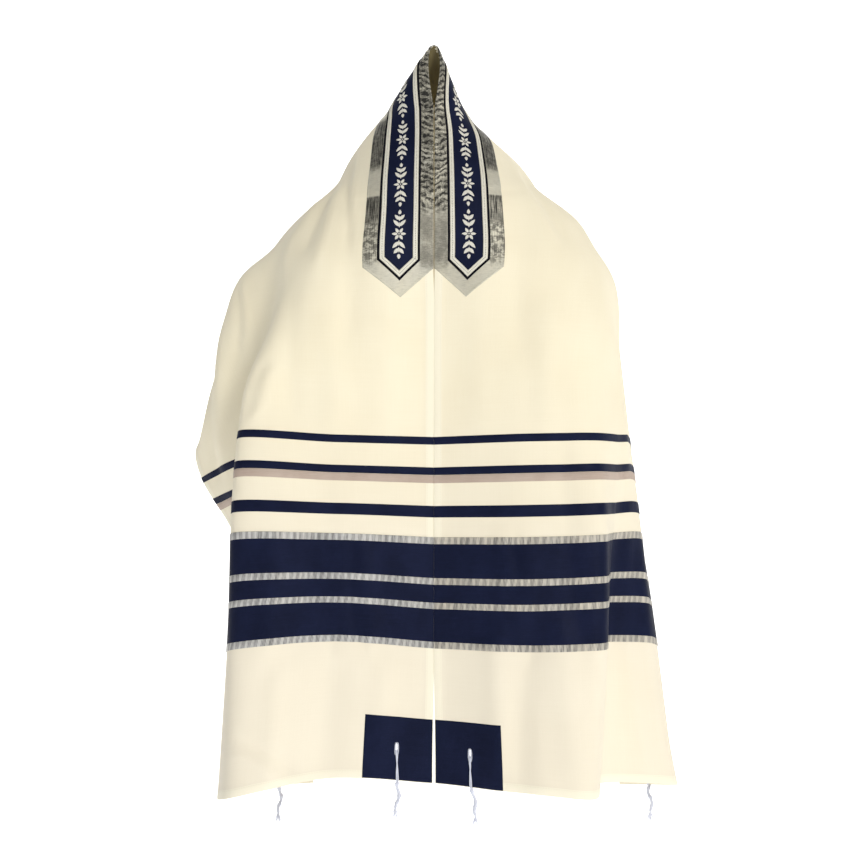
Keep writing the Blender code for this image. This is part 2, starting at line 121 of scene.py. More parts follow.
Section = namedtuple("Section", "run mid edge hollow arm back")
LEFT_SECTIONS = [Section(*row) for row in (
    (200, (-80, -82, -188), (-146, -28, -208), (-190, 38, -256), (-200, 84, -352), (-188, 116, -472)),
    (300, (-90, -119, -276), (-165, -92, -282), (-207, -40, -282), (-254, 10, -306), (-247, 112, -488)),
    (400, (-105, -126, -373), (-205, -107, -375), (-219, -50, -382), (-286, 4, -408), (-289, 98, -522)),
    (500, (-125, -130, -471), (-246, -113, -468), (-227, -48, -480), (-297, 2, -508), (-331, 76, -551)),
    (560, (-127, -131, -531), (-255, -114, -527), (-228, -48, -547), (-280, 8, -569), (-322, 76, -590)),
    (640, (-128, -132, -610), (-262, -115, -609), (-236, -50, -627), (-260, 16, -638), (-284, 72, -652)),
    (800, (-130, -133, -765), (-266, -117, -776), (-265, -52, -788), (-255, 14, -798), (-212, 60, -808)),
    (1005, (-132, -135, -972), (-272, -119, -1002), (-286, -52, -1012), (-258, 14, -1010), (-165, 38, -1006)),
)]
RIGHT_SECTIONS = [Section(*row) for row in (
    (200, (76, -81, -186), (142, -30, -204), (188, 36, -240), (198, 86, -345), (190, 116, -468)),
    (300, (90, -119, -275), (166, -90, -276), (207, -36, -278), (241, 28, -308), (232, 110, -490)),
    (400, (100, -129, -371), (186, -117, -372), (224, -78, -376), (248, -6, -400), (254, 92, -524)),
    (500, (115, -137, -469), (200, -125, -469), (232, -84, -472), (256, -20, -482), (250, 90, -566)),
    (560, (125, -141, -530), (208, -131, -529), (238, -88, -531), (262, -22, -535), (248, 90, -614)),
    (640, (130, -147, -612), (216, -137, -610), (237, -84, -611), (271, -25, -613), (253, 84, -678)),
    (800, (140, -160, -775), (218, -150, -772), (227, -78, -770), (294, -30, -777), (266, 66, -815)),
    (1005, (150, -174, -989), (199, -170, -994), (221, -76, -988), (326, -36, -997), (254, 38, -1008)),
)]

Fold = namedtuple("Fold", "run across wide_run wide_across depth")
BACK_FOLDS = [Fold(*row) for row in (
    (-400, 480, 34, 60, 10),
    (-300, 480, 36, 110, 18),
    (-195, 450, 34, 170, -13),
    (-105, 470, 36, 180, 22),
    (5, 480, 34, 200, -14),
    (110, 470, 38, 180, 21),
    (205, 450, 34, 170, -13),
    (305, 480, 38, 110, 18),
    (405, 480, 34, 60, 8),
)]

# Soft creases: from one flat place to another, with their half width and height off the face.
# The wide ones are laid up to CREASE_DEPTH times as high as the table says, the narrow ones just as it says.
Crease = namedtuple("Crease", "run across to_run to_across wide height")
CREASE_DEPTH = 1.4
NARROW_CREASE, WIDE_CREASE = 7.0, 13.0
CREASE_BOW, CREASE_TURNS = 3.0, 5.1
CREASE_FADE, CREASE_START = 3.5, 0.4
# Height of the slack ripples everywhere, and what is added to it low down
RIPPLE, LOW_RIPPLE = 0.18, 0.5
CREASES = [Crease(*row) for row in (
    # storage creases beside the neckband
    (-236, 72, -241, 150, 3.0, -1.0),
    (226, 72, 217, 140, 3.0, -1.0),
    # left shoulder and chest
    (-140, 116, -310, 98, 5, 2.4),
    (-150, 128, -310, 108, 6, -2.6),
    (-200, 132, -340, 148, 9, 3.2),
    (-195, 148, -310, 172, 9, -3.2),
    (-215, 178, -340, 205, 13, 3.0),
    (-250, 100, -440, 112, 16, -2.2),
    (-330, 60, -560, 66, 22, 1.8),
    (-400, 135, -560, 128, 18, 2.2),
    (-340, 180, -540, 186, 15, -2.4),
    # left arm
    (-325, 285, -420, 318, 5, 2.0),
    (-330, 298, -430, 330, 7, -2.4),
    (-465, 214, -538, 248, 6, -2.8),
    (-470, 201, -545, 234, 7, 2.6),
    (-361, 345, -560, 430, 17, 3.2),
    (-400, 375, -590, 462, 13, -3.0),
    # left panel: bands and low end
    (-676, 117, -765, 116, 6.5, -1.7),
    (-755, 117, -845, 97, 7, -2.2),
    (-690, 98, -850, 84, 12, 1.6),
    (-812, 134, -855, 137, 7, -1.4),
    (-700, 180, -850, 190, 22, -1.6),
    (-690, 225, -860, 232, 18, 2.0),
    (-935, 254, -992, 174, 8, -3.0),
    (-946, 262, -1002, 186, 9, 2.6),
    (-850, 135, -1000, 132, 24, -2.0),
    (-850, 70, -990, 60, 16, 2.4),
    (-860, 205, -1003, 212, 15, 2.2),
    # right shoulder and chest
    (150, 120, 300, 150, 11, 2.2),
    (170, 138, 300, 170, 10, -2.4),
    (250, 105, 460, 118, 18, -2.0),
    (340, 60, 560, 66, 20, 1.6),
    (380, 150, 560, 160, 18, 2.2),
    # right panel: bands and low end
    (672, 113, 750, 115, 6.5, -1.7),
    (680, 96, 770, 96, 11, 1.6),
    (750, 99, 832, 104, 7, -1.4),
    (806, 126, 850, 131, 7, -1.4),
    (560, 180, 840, 190, 15, -2.2),
    (600, 225, 840, 222, 14, 2.0),
    (790, 128, 1003, 110, 20, -4.2),
    (790, 168, 1003, 186, 20, 3.8),
    (800, 84, 1003, 80, 15, 2.4),
    (620, 285, 860, 262, 10, 1.8),
    (640, 330, 1000, 352, 14, 2.4),
    (640, 385, 1000, 400, 13, -2.4),
    (400, 300, 620, 330, 15, 2.2),
    # the back and its long edge
    (-60, 200, -75, 480, 16, 2.6),
    (62, 220, 80, 490, 18, -2.6),
    (-20, 260, -10, 500, 11, 1.8),
    (150, 240, 170, 500, 15, 2.4),
    (-160, 240, -170, 500, 16, -2.4),
    (-245, 260, -250, 500, 13, 2.0),
    (250, 270, 262, 500, 14, -2.2),
    (120, 120, 180, 330, 14, 1.6),
    (-125, 125, -190, 330, 15, 1.6),
)]


def smooth(x):
    """Rises smoothly from 0 to 1 as x goes from 0 to 1."""
    x = np.clip(x, 0.0, 1.0)
    return x * x * (3 - 2 * x)


def spline(knots, points, at):
    """A smooth curve through points at their knots, read at the values in at."""
    knots = np.asarray(knots, float)
    points = np.asarray(points, float).reshape(len(knots), -1)
    at = np.atleast_1d(np.asarray(at, float))
    gaps = np.diff(knots)
    slopes = np.diff(points, axis=0) / gaps[:, None]
    tangents = np.empty_like(points)
    tangents[0], tangents[-1] = slopes[0], slopes[-1]
    share = (gaps[:-1] / (gaps[:-1] + gaps[1:]))[:, None]
    tangents[1:-1] = slopes[:-1] * (1 - share) + slopes[1:] * share
    cell = np.clip(np.searchsorted(knots, at, side="right") - 1, 0, len(gaps) - 1)
    gap = gaps[cell][:, None]
    u = ((at - knots[cell]) / gaps[cell])[:, None]
    return (
        points[cell] * (2 * u**3 - 3 * u**2 + 1)
        + tangents[cell] * gap * (u**3 - 2 * u**2 + u)
        + points[cell + 1] * (3 * u**2 - 2 * u**3)
        + tangents[cell + 1] * gap * (u**3 - u**2)
    )


def front_edge(run):
    """The point of the neck edge at that run: down the slope from the peak, then plumb."""
    side = -1 if run < 0 else 1
    length = abs(run)
    steps = np.linspace(0.0, length, EDGE_STEPS)
    slope = FRONT_SLOPE * (1 - smooth((steps - CHEST_BEND[0]) / (CHEST_BEND[1] - CHEST_BEND[0])))
    step = length / (EDGE_STEPS - 1)
    forward = step * (np.sin(slope)[:-1] + np.sin(slope)[1:]).sum() / 2
    down = step * (np.cos(slope)[:-1] + np.cos(slope)[1:]).sum() / 2
    forward += FRONT_FORWARD * smooth((length - CHEST_BEND[1]) / (HALF_LENGTH - CHEST_BEND[1]))
    opening = PEAK_OPENING * sin(pi * min(1.0, length / PEAK_OPEN_TO) ** 0.6)
    apart = BAND_GAP + (EDGE_GAP - BAND_GAP) * smooth((length - EDGES_MEET[0]) / EDGES_MEET[1])
    apart += (LOW_GAP - EDGE_GAP) * smooth((length - EDGES_PART[0]) / EDGES_PART[1]) + opening
    return np.array([side * apart if length else 0.0, -forward, -down])


def cone_point(run, across):
    """Where the flat cloth lies on the cone of the peak."""
    side = -1 if run < 0 else 1
    reach = hypot(run, across)
    around = 2 * atan2(across, abs(run))
    around -= CONE_FLAT_FRONT * sin(2 * around)
    sideways = np.interp(reach, CONE_REACH, CONE_SIDE[side])
    way = np.array([side * sin(around) * sideways, -cos(around) * CONE_DEEP, -1.0])
    return way / np.linalg.norm(way) * reach


def on_peak(run, across, point):
    """Near the peak the cloth lies on the cone itself, shifted there by the front opening."""
    kept = smooth((hypot(run, across) - CONE_WHOLE) / (CONE_FADE - CONE_WHOLE))
    if kept >= 1:
        return point
    opened = front_edge(run) - cone_point(run, 0.0)
    whole = cone_point(run, across) + opened * exp(-across / OPENING_FADE)
    return whole * (1 - kept) + point * kept


def hang_plumb(point):
    """Below the shoulders the cloth at the back hangs plumb instead of spreading further."""
    below = min(0.0, point[2] - SHOULDER_DROP)
    if not below:
        return point
    kept = (SHOULDER_DROP + below * SPREAD_LEFT) / point[2]
    slack = hypot(point[0], point[1]) * (1 - kept)
    return np.array([point[0] * kept, point[1] * kept, point[2] - slack * SLACK_DROP])


def all_sections():
    """Every section from one end of the cloth to the other: its run and its guide points."""
    found = []
    for table, side in ((LEFT_SECTIONS, -1), (RIGHT_SECTIONS, 1)):
        for row in table:
            found.append((side * row.run, [row.mid, row.edge, row.hollow, row.arm, row.back]))
    for run in (-CONE_TO, -CONE_TO / 2, 0.0, CONE_TO / 2, CONE_TO):
        guides = [cone_point(run, WIDTH * share) for share in GUIDE_SHARES]
        found.append((run, [hang_plumb(point) for point in guides]))
    return sorted(found, key=lambda section: section[0])


def section_lines(runs, across):
    """Points of the hung cloth on the grid of runs and distances across."""
    sections = all_sections()
    knots = [run for run, _ in sections]
    guides = np.array([points for _, points in sections], float)
    carried = spline(knots, guides.reshape(len(knots), -1), runs).reshape(len(runs), len(GUIDE_SHARES), 3)
    rows = []
    for run, points in zip(runs, carried):
        line = np.vstack([front_edge(run), points])
        chords = np.concatenate([[0.0], np.cumsum(np.linalg.norm(np.diff(line, axis=0), axis=1))])
        fine = spline(chords, line, np.linspace(0.0, chords[-1], LINE_STEPS))
        lengths = np.concatenate([[0.0], np.cumsum(np.linalg.norm(np.diff(fine, axis=0), axis=1))])
        wanted = np.asarray(across) / WIDTH * lengths[-1]
        row = np.stack([np.interp(wanted, lengths, fine[:, k]) for k in range(3)], axis=1)
        rows.append([on_peak(run, beyond, point) for beyond, point in zip(across, row)])
    return np.array(rows)


def face_ways(points, runs, across):
    """The outward direction at every grid point."""
    along = np.gradient(points, runs, axis=0)
    over = np.gradient(points, across, axis=1)
    ways = np.cross(along, over)
    return ways / np.linalg.norm(ways, axis=2, keepdims=True)


def fold_heights(runs, across):
    """How far the soft folds at the back push the cloth out."""
    height = np.zeros(runs.shape)
    for fold in BACK_FOLDS:
        beside = (runs - fold.run) / fold.wide_run
        beyond = (across - fold.across) / fold.wide_across
        height += fold.depth * np.exp(-beside**2 - np.minimum(beyond, 0.0) ** 2 * 2)
    return height


def crease_heights(runs, across):
    """How far the small creases and the slack of the cloth push it out."""
    height = np.zeros(runs.shape)
    for crease in CREASES:
        way = np.array([crease.to_run - crease.run, crease.to_across - crease.across], float)
        length = np.hypot(*way)
        way /= length
        gone = (runs - crease.run) * way[0] + (across - crease.across) * way[1]
        off = (across - crease.across) * way[0] - (runs - crease.run) * way[1]
        share = gone / length
        off = off + CREASE_BOW * np.sin(share * CREASE_TURNS + crease.run)
        fade = smooth(share * CREASE_FADE + CREASE_START) * smooth((1 - share) * CREASE_FADE + CREASE_START)
        wide = smooth((crease.wide - NARROW_CREASE) / (WIDE_CREASE - NARROW_CREASE))
        deeper = 1 + (CREASE_DEPTH - 1) * wide
        height += deeper * crease.height * np.exp(-(off / crease.wide) ** 2) * fade
    low = smooth((np.abs(runs) - 420) / 400)
    ripple = np.sin(across / 21.0 + runs / 310.0) + 0.7 * np.sin(across / 12.7 - runs / 190.0 + 1.3)
    height += ripple * (RIPPLE + LOW_RIPPLE * low)
    return height


class Hang:
    """The hung cloth's inner face, and any place above it."""

    def __init__(self, step=3.0):
        self.runs = np.linspace(-HALF_LENGTH, HALF_LENGTH, int(2 * HALF_LENGTH / step) | 1)
        self.across = np.linspace(0.0, WIDTH, int(WIDTH / step) + 1)
        bare = section_lines(self.runs, self.across)
        grid = np.meshgrid(self.runs, self.across, indexing="ij")
        folded = bare + face_ways(bare, self.runs, self.across) * fold_heights(*grid)[:, :, None]
        ways = face_ways(folded, self.runs, self.across)
        self.points = folded + ways * crease_heights(*grid)[:, :, None]
        self.ways = face_ways(self.points, self.runs, self.across)

    def at(self, run, across, height=0.0):
        """Points above the flat places in the arrays run and across."""
        run, across, height = np.broadcast_arrays(*[np.asarray(x, float) for x in (run, across, height)])
        u = (run - self.runs[0]) / (self.runs[1] - self.runs[0])
        v = (across - self.across[0]) / (self.across[1] - self.across[0])
        i = np.clip(u.astype(int), 0, len(self.runs) - 2)
        j = np.clip(v.astype(int), 0, len(self.across) - 2)
        u, v = (u - i)[..., None], (v - j)[..., None]

        def between(values):
            near = values[i, j] * (1 - v) + values[i, j + 1] * v
            far = values[i + 1, j] * (1 - v) + values[i + 1, j + 1] * v
            return near * (1 - u) + far * u

        ways = between(self.ways)
        ways /= np.linalg.norm(ways, axis=-1, keepdims=True)
        return between(self.points) + ways * height[..., None]


hang = Hang()


# Meshes

def add_mesh(name, points, faces, places, finish):
    """A mesh from points in millimetres, with the flat place of each point, in metres, as its map."""
    mesh = bpy.data.meshes.new(name)
    metres = [tuple(p) for p in np.asarray(points, float) * MM]
    mesh.from_pydata(metres, [], [tuple(map(int, face)) for face in faces])
    flat = mesh.uv_layers.new(name="flat")
    corners = np.zeros(len(mesh.loops), np.int32)
    mesh.loops.foreach_get("vertex_index", corners)
    flat.uv.foreach_set("vector", (np.asarray(places, np.float32) * MM)[corners].ravel())
    mesh.shade_smooth()
    mesh.set_sharp_from_angle(angle=SHARP)
    mesh.materials.append(finish)
    made = bpy.data.objects.new(name, mesh)
    bpy.context.scene.collection.objects.link(made)
    return made


def shell(run, across, low, high, keep=None):
    """Points, faces and flat places of a thin closed layer over the grid run, across."""
    rows, columns = run.shape
    count = rows * columns
    points = np.vstack([hang.at(run, across, low).reshape(-1, 3), hang.at(run, across, high).reshape(-1, 3)])
    places = np.tile(np.stack([across.ravel(), run.ravel()], axis=1), (2, 1))
    i, j = np.meshgrid(np.arange(rows - 1), np.arange(columns - 1), indexing="ij")
    kept = np.ones(i.shape, bool) if keep is None else keep
    a = (i * columns + j)[kept]
    ring = np.stack([a, a + columns, a + columns + 1, a + 1], axis=1)
    faces = [ring + count, ring[:, ::-1]]
    padded = np.zeros((rows + 1, columns + 1), bool)
    padded[1:-1, 1:-1] = kept
    sides = (((0, -1), 0, 1), ((1, 0), 1, 2), ((0, 1), 2, 3), ((-1, 0), 3, 0))
    for (di, dj), first, second in sides:
        open_side = kept & ~padded[1 + di:rows + di, 1 + dj:columns + dj]
        corners = (i * columns + j)[open_side]
        shift = np.array([0, columns, columns + 1, 1])
        p, q = corners + shift[first], corners + shift[second]
        faces.append(np.stack([p, q, q + count, p + count], axis=1))
    faces = np.vstack(faces)
    used, faces = np.unique(faces, return_inverse=True)
    return points[used], faces.reshape(-1, 4), places[used]


def joined(parts):
    """Several points, faces and places as one."""
    points, faces, places, start = [], [], [], 0
    for part_points, part_faces, part_places in parts:
        points.append(part_points)
        places.append(part_places)
        faces.extend([tuple(k + start for k in face) for face in part_faces])
        start += len(part_points)
    return np.vstack(points), faces, np.vstack(places)


def lines(low, high, step, *extra):
    """Evenly spaced values from low to high with the extra ones between them."""
    even = np.linspace(low, high, max(2, round((high - low) / step) + 1))
    kept = [x for x in even if not extra or min(abs(x - e) for e in extra) > step * 0.22]
    return np.array(sorted({low, high, *kept, *[e for e in extra if low < e < high]}))


def pillow(values, low, high, edge, top, soft=1.1):
    """A layer's height: the edge height at both ends and the top height inside them."""
    inside = np.minimum(values - low, high - values)
    return edge + (top - edge) * smooth(inside / soft)


# Pieces

def sides():
    return ((-1, "left"), (1, "right"))


def corners():
    """Each corner's name, its side, and whether it is at the neck edge in front."""
    for side, word in sides():
        for in_front, place in ((True, "front"), (False, "back")):
            yield f"{place}_{word}", side, in_front


def eyelet_lines():
    wide, tall = EYELET_HOLE
    near = [EYELET_ACROSS - wide / 2, EYELET_ACROSS + wide / 2]
    middle = HALF_LENGTH - EYELET_UP
    return near, [middle - tall / 2, middle + tall / 2]


def add_cloth(finish):
    """The cream rectangle with its turned and stitched hem."""
    near, high = eyelet_lines()
    hem_edge = [0.5, 1.4, HEM - 0.9, HEM]
    runs = lines(0, HALF_LENGTH, 5.0, *high, *[HALF_LENGTH - e for e in hem_edge])
    runs = np.concatenate([-runs[::-1], runs[1:]])
    beside = [*near, *hem_edge]
    across = lines(0, WIDTH, 6.0, *beside, *[WIDTH - e for e in beside])
    run, over = np.meshgrid(runs, across, indexing="ij")
    from_edge = np.minimum(HALF_LENGTH - np.abs(run), np.minimum(over, WIDTH - over))
    hem = smooth((HEM - from_edge) / 0.8)
    rounded = smooth(from_edge / 1.2) * 0.45 + 0.55
    middle = (CLOTH_LOW + CLOTH_TOP) / 2
    half = (CLOTH_TOP - CLOTH_LOW) / 2 + hem * HEM_RAISE / 2
    keep = ~in_eyelet((runs[:-1] + runs[1:]) / 2, (across[:-1] + across[1:]) / 2)
    low, top = middle - half * rounded, middle + half * rounded
    return add_mesh("shawl", *shell(run, over, low, top, keep), finish)


def in_eyelet(run_middles, across_middles):
    """Which cells lie inside an eyelet's slot."""
    near, high = eyelet_lines()
    run, across = np.meshgrid(np.abs(run_middles), across_middles, indexing="ij")
    across = np.minimum(across, WIDTH - across)
    return (run > high[0]) & (run < high[1]) & (across > near[0]) & (across < near[1])


def add_stripe(stripe, side, word, finish, top, sunk):
    """A strip of cloth sewn across one end, from its sunk underside to its top."""
    edges = [stripe.start + x for x in (0.35, 0.8)] + [stripe.end - x for x in (0.35, 0.8)]
    runs = lines(stripe.start, stripe.end, 4.5, *edges)
    across = lines(STRIPE_EDGE, WIDTH - STRIPE_EDGE, 5.0, 0.8, WIDTH - 0.8)
    run, over = np.meshgrid(side * runs if side > 0 else -runs[::-1], across, indexing="ij")
    size = np.abs(run)
    height = pillow(size, stripe.start, stripe.end, top - 0.38, top, 0.8)
    height = np.minimum(height, pillow(over, STRIPE_EDGE, WIDTH - STRIPE_EDGE, top - 0.3, top, 1.0))
    low = np.full(run.shape, CLOTH_TOP - sunk)
    return add_mesh(f"{stripe.name}_{word}", *shell(run, over, low, height), finish)


def pointed_grid(shoulder, point, sides_across, inset, step):
    """Grid of a strip over the peak whose ends come to a point at the ribbon's middle."""
    low, high = sides_across[0] + inset, sides_across[1] - inset
    across = np.concatenate([np.linspace(low, RIBBON_MIDDLE, 8), np.linspace(RIBBON_MIDDLE, high, 8)[1:]])
    share = np.linspace(-1, 1, int(2 * shoulder / step) | 1)
    half = np.where(across < RIBBON_MIDDLE, RIBBON_MIDDLE - low, high - RIBBON_MIDDLE)
    reach = shoulder + (point - shoulder) * (1 - np.abs(across - RIBBON_MIDDLE) / half)
    tilt = smooth((np.abs(share)[:, None] - 0.8) / 0.2)
    run = share[:, None] * shoulder
    run = run + np.sign(run) * (reach[None, :] - shoulder) * tilt
    return run, np.broadcast_to(across, run.shape).copy()


def outline(shoulder, point, sides_across):
    """Corners of the closed outline of a strip that is pointed at both ends."""
    low, high = sides_across
    return np.array([
        (-shoulder, low), (shoulder, low), (point, RIBBON_MIDDLE),
        (shoulder, high), (-shoulder, high), (-point, RIBBON_MIDDLE),
    ])


def inset_outline(points, inset):
    """The outline moved inwards by that much, with mitred corners."""
    following = np.roll(points, -1, axis=0)
    ways = following - points
    ways /= np.linalg.norm(ways, axis=1, keepdims=True)
    inward = np.stack([-ways[:, 1], ways[:, 0]], axis=1)
    mitre = np.roll(inward, 1, axis=0) + inward
    mitre /= (mitre * inward).sum(1, keepdims=True)
    return points + mitre * inset


def ring(points, insets, heights, low, step, as_laid=False):
    """A trim that follows a closed outline, with that cross profile.

    Its flat places run along the trim, or lie where it is sewn when as_laid is true.
    """
    rims = [inset_outline(points, inset) for inset in insets]
    count = len(points)
    shares, owners = [], []
    for k in range(count):
        length = np.linalg.norm(points[(k + 1) % count] - points[k])
        parts = max(1, round(length / step))
        shares.extend(np.arange(parts) / parts)
        owners.extend([k] * parts)
    shares, owners = np.array(shares)[:, None], np.array(owners)
    lines_flat = [rim[owners] * (1 - shares) + rim[(owners + 1) % count] * shares for rim in rims]
    gone = np.concatenate([[0.0], np.cumsum(np.linalg.norm(np.diff(lines_flat[0], axis=0), axis=1))])
    profile = list(zip(insets, heights)) + [(insets[-1], low), (insets[0], low)]
    flats = lines_flat + [lines_flat[-1], lines_flat[0]]
    points_3d = [hang.at(flat[:, 0], flat[:, 1], height) for flat, (_, height) in zip(flats, profile)]
    if as_laid:
        places = [flat[:, ::-1] for flat in flats]
    else:
        places = [np.stack([np.full(len(gone), inset), gone], axis=1) for inset, _ in profile]
    rows, columns = len(profile), len(gone)
    faces = []
    for i in range(rows):
        for j in range(columns):
            a, b = i * columns + j, i * columns + (j + 1) % columns
            c, d = ((i + 1) % rows) * columns + (j + 1) % columns, ((i + 1) % rows) * columns + j
            faces.append((a, b, c, d))
    return np.vstack(points_3d), faces, np.vstack(places)


# Finishes

class Socket:
    """A shader value that can be used in sums."""

    def __init__(self, finish, link):
        self.finish, self.link = finish, link

    def math(self, how, first, second=0.0):
        return self.finish.node("Math", {"operation": how}, {0: first, 1: second})

    def __add__(self, other):
        return self.math("ADD", self, other)

    def __radd__(self, other):
        return self.math("ADD", other, self)

    def __sub__(self, other):
        return self.math("SUBTRACT", self, other)

    def __rsub__(self, other):
        return self.math("SUBTRACT", other, self)

    def __mul__(self, other):
        return self.math("MULTIPLY", self, other)

    def __rmul__(self, other):
        return self.math("MULTIPLY", other, self)

    def __truediv__(self, other):
        return self.math("DIVIDE", self, other)

    def __abs__(self):
        return self.math("ABSOLUTE", self)


class Finish:
    """A material and the shorthand for its nodes."""

    def __init__(self, name, colour, **constants):
        self.made = bpy.data.materials.new(name)
        self.made.use_nodes = True
        self.tree = self.made.node_tree
        self.shader = self.tree.nodes["Principled BSDF"]
        self.set("Base Color", colour)
        for socket, value in constants.items():
            self.set(socket.replace("_", " "), value)
        place = self.node("UVMap", {"uv_map": "flat"}, {}, "UV")
        flat = self.node("VectorMath", {"operation": "SCALE"}, {0: place, "Scale": 1 / MM})
        self.across = self.node("SeparateXYZ", {}, {0: flat}, "X")
        self.run = self.node("SeparateXYZ", {}, {0: flat}, "Y")

    def node(self, kind, settings, values, out=0):
        """A node of that kind, with its settings and the values or links of its sockets."""
        made = self.tree.nodes.new("ShaderNode" + kind)
        for setting, value in settings.items():
            setattr(made, setting, value)
        for socket, value in values.items():
            self.feed(made.inputs[socket], value)
        return Socket(self, made.outputs[out])

    def feed(self, socket, value):
        if isinstance(value, Socket):
            self.tree.links.new(value.link, socket)
        elif hasattr(value, "__len__") and len(value) == 3 and socket.type == "RGBA":
            socket.default_value = (*value, 1.0)
        else:
            socket.default_value = value

    def set(self, socket, value):
        self.feed(self.shader.inputs[socket], value)

    def flat(self, x, y, z=0.0):
        return self.node("CombineXYZ", {}, {0: x, 1: y, 2: z})

    def noise(self, wide, tall, detail=2.0, rough=0.5, seed=0.0, x=None):
        """Noise with marks that wide across, or along x, and that tall along the run, in millimetres."""
        place = self.flat((self.across if x is None else x) / wide, self.run / tall, seed)
        values = {"Vector": place, "Scale": 1.0, "Detail": detail, "Roughness": rough}
        return self.node("TexNoise", {}, values)

    def wave(self, value, length, offset=0.0):
        """Goes smoothly between 0 and 1 once in each length of value."""
        turned = self.node("Math", {"operation": "SINE"}, {0: value * (2 * pi / length) + offset})
        return turned * 0.5 + 0.5

    def between(self, value, low, high):
        """0 below low, 1 above high and smooth between them."""
        ends = {"Value": value, "From Min": low, "From Max": high}
        return self.node("MapRange", {"interpolation_type": "SMOOTHSTEP"}, ends)

    def least(self, first, second):
        return self.node("Math", {"operation": "MINIMUM"}, {0: first, 1: second})

    def most(self, first, second):
        return self.node("Math", {"operation": "MAXIMUM"}, {0: first, 1: second})

    def mix(self, share, first, second):
        """The first colour where share is 0 and the second where it is 1."""
        return self.node("Mix", {"data_type": "RGBA"}, {0: share, 6: first, 7: second}, 2)

    def bump(self, height, depth):
        """Relief of that many millimetres where height is 1."""
        values = {"Height": height, "Distance": depth * MM, "Strength": 1.0}
        self.set("Normal", self.node("Bump", {}, values))


def weave(finish, pitch):
    """Height of a plain weave: threads along the run and across it, over and under each other."""
    warp = finish.wave(finish.across, pitch)
    weft = finish.wave(finish.run, pitch)
    over = finish.wave(finish.across, 2 * pitch) * finish.wave(finish.run, 2 * pitch)
    return finish.most(warp * (0.6 + over * 0.4), weft * (1 - over * 0.4))


def cream_wool():
    """Soft light wool: plain weave, uneven threads, and a turned hem sewn with small stitches."""
    finish = Finish("cream_wool", (0.86, 0.8, 0.64), Roughness=0.85, Specular_IOR_Level=0.2)
    finish.set("Sheen Weight", 0.15)
    finish.set("Sheen Roughness", 0.5)
    from_side = finish.least(finish.across, WIDTH - finish.across)
    from_end = HALF_LENGTH - abs(finish.run)
    from_edge = finish.least(from_side, from_end)
    hem = 1 - finish.between(from_edge, HEM - 0.8, HEM)
    slub_run = finish.noise(1.1, 60.0, 2.0)
    slub_across = finish.noise(60.0, 1.1, 2.0, seed=3.0)
    cloud = finish.noise(90.0, 130.0, 2.0, seed=7.0)
    threads = (slub_run + slub_across) * 0.5
    tone = finish.between(threads, 0.3, 0.7) * 0.45 + finish.between(cloud, 0.3, 0.7) * 0.55
    low = finish.between(abs(finish.run), 430.0, 820.0)
    dark = finish.mix(low, (0.85, 0.775, 0.585, 1), (0.805, 0.738, 0.6, 1))
    light = finish.mix(low, (0.885, 0.82, 0.64, 1), (0.84, 0.777, 0.642, 1))
    colour = finish.mix(hem * 0.7, finish.mix(tone, dark, light), (0.9, 0.855, 0.7, 1))
    stitch_row = 1 - finish.between(abs(from_edge - (HEM - 1.7)), 0.15, 0.45)
    along = finish.node("Math", {"operation": "COMPARE"}, {0: from_side, 1: from_edge, 2: 0.01})
    gone = finish.run * along + finish.across * (1 - along)
    stitch = stitch_row * finish.between(finish.wave(gone, 3.2), 0.25, 0.5)
    finish.set("Base Color", finish.mix(stitch * 0.35, colour, (0.62, 0.55, 0.42, 1)))
    finish.set("Roughness", 0.8 + threads * 0.12)
    finish.bump(weave(finish, 0.75) * 0.35 + threads * 0.5 - stitch * 0.5, 0.28)
    return finish.made


def silk(name, dark, light, seed):
    """Slubbed silk in narrow strips, pulled a little at its stitched edges."""
    finish = Finish(name, dark, Roughness=0.5, Specular_IOR_Level=0.06)
    slub = finish.noise(38.0, 0.55, 3.0, 0.6, seed)
    fine = finish.noise(7.0, 0.3, 2.0, 0.5, seed + 2)
    cloud = finish.noise(46.0, 60.0, 3.0, 0.55, seed + 4)
    pucker = finish.noise(5.5, 34.0, 2.0, 0.5, seed + 6)
    tone = finish.between(slub * 0.6 + fine * 0.4, 0.35, 0.68) * 0.5 + finish.between(cloud, 0.3, 0.7) * 0.5
    finish.set("Base Color", finish.mix(tone, dark, light))
    finish.set("Roughness", 0.4 + slub * 0.25)
    finish.bump(slub * 0.4 + fine * 0.15 + pucker * 0.9, 0.32)
    return finish.made


def silver_ribbon():
    """Metallic ribbon with fine cross ribs, in lighter and darker bars."""
    finish = Finish("silver_ribbon", (0.4, 0.4, 0.4), Metallic=0.35, Roughness=0.42)
    slant = finish.across + finish.run * 0.12
    ribs = finish.wave(slant, 1.75)
    uneven = finish.noise(1.3, 14.0, 2.0, 0.6, x=slant)
    bars = finish.wave(slant + finish.noise(40.0, 300.0, 1.0) * 9, 9.2)
    patches = finish.noise(24.0, 400.0, 2.0, 0.5, seed=5.0)
    size = abs(finish.run)
    light = ribs * 0.4 + uneven * 0.55 + finish.between(bars, 0.3, 0.95) * 0.2
    light = light + (finish.between(patches, 0.25, 0.75) - 0.5) * 0.24
    # Warmer tone in random patches, and over the whole +X end, where it is painted warm light from that side
    warm_patches_and_light = finish.noise(30.0, 300.0, 2.0, seed=9.0) * 0.5 + finish.between(finish.run, -60.0, 60.0) * 0.5
    pale = finish.mix(warm_patches_and_light, (0.66, 0.665, 0.67, 1), (0.66, 0.6, 0.49, 1))
    finish.set("Base Color", finish.mix(finish.between(light, 0.12, 0.9), (0.07, 0.072, 0.075, 1), pale))
    finish.set("Roughness", 0.55 - ribs * 0.2)
    finish.bump(ribs + finish.wave(size, 0.9) * 0.2, 0.3)
    return finish.made


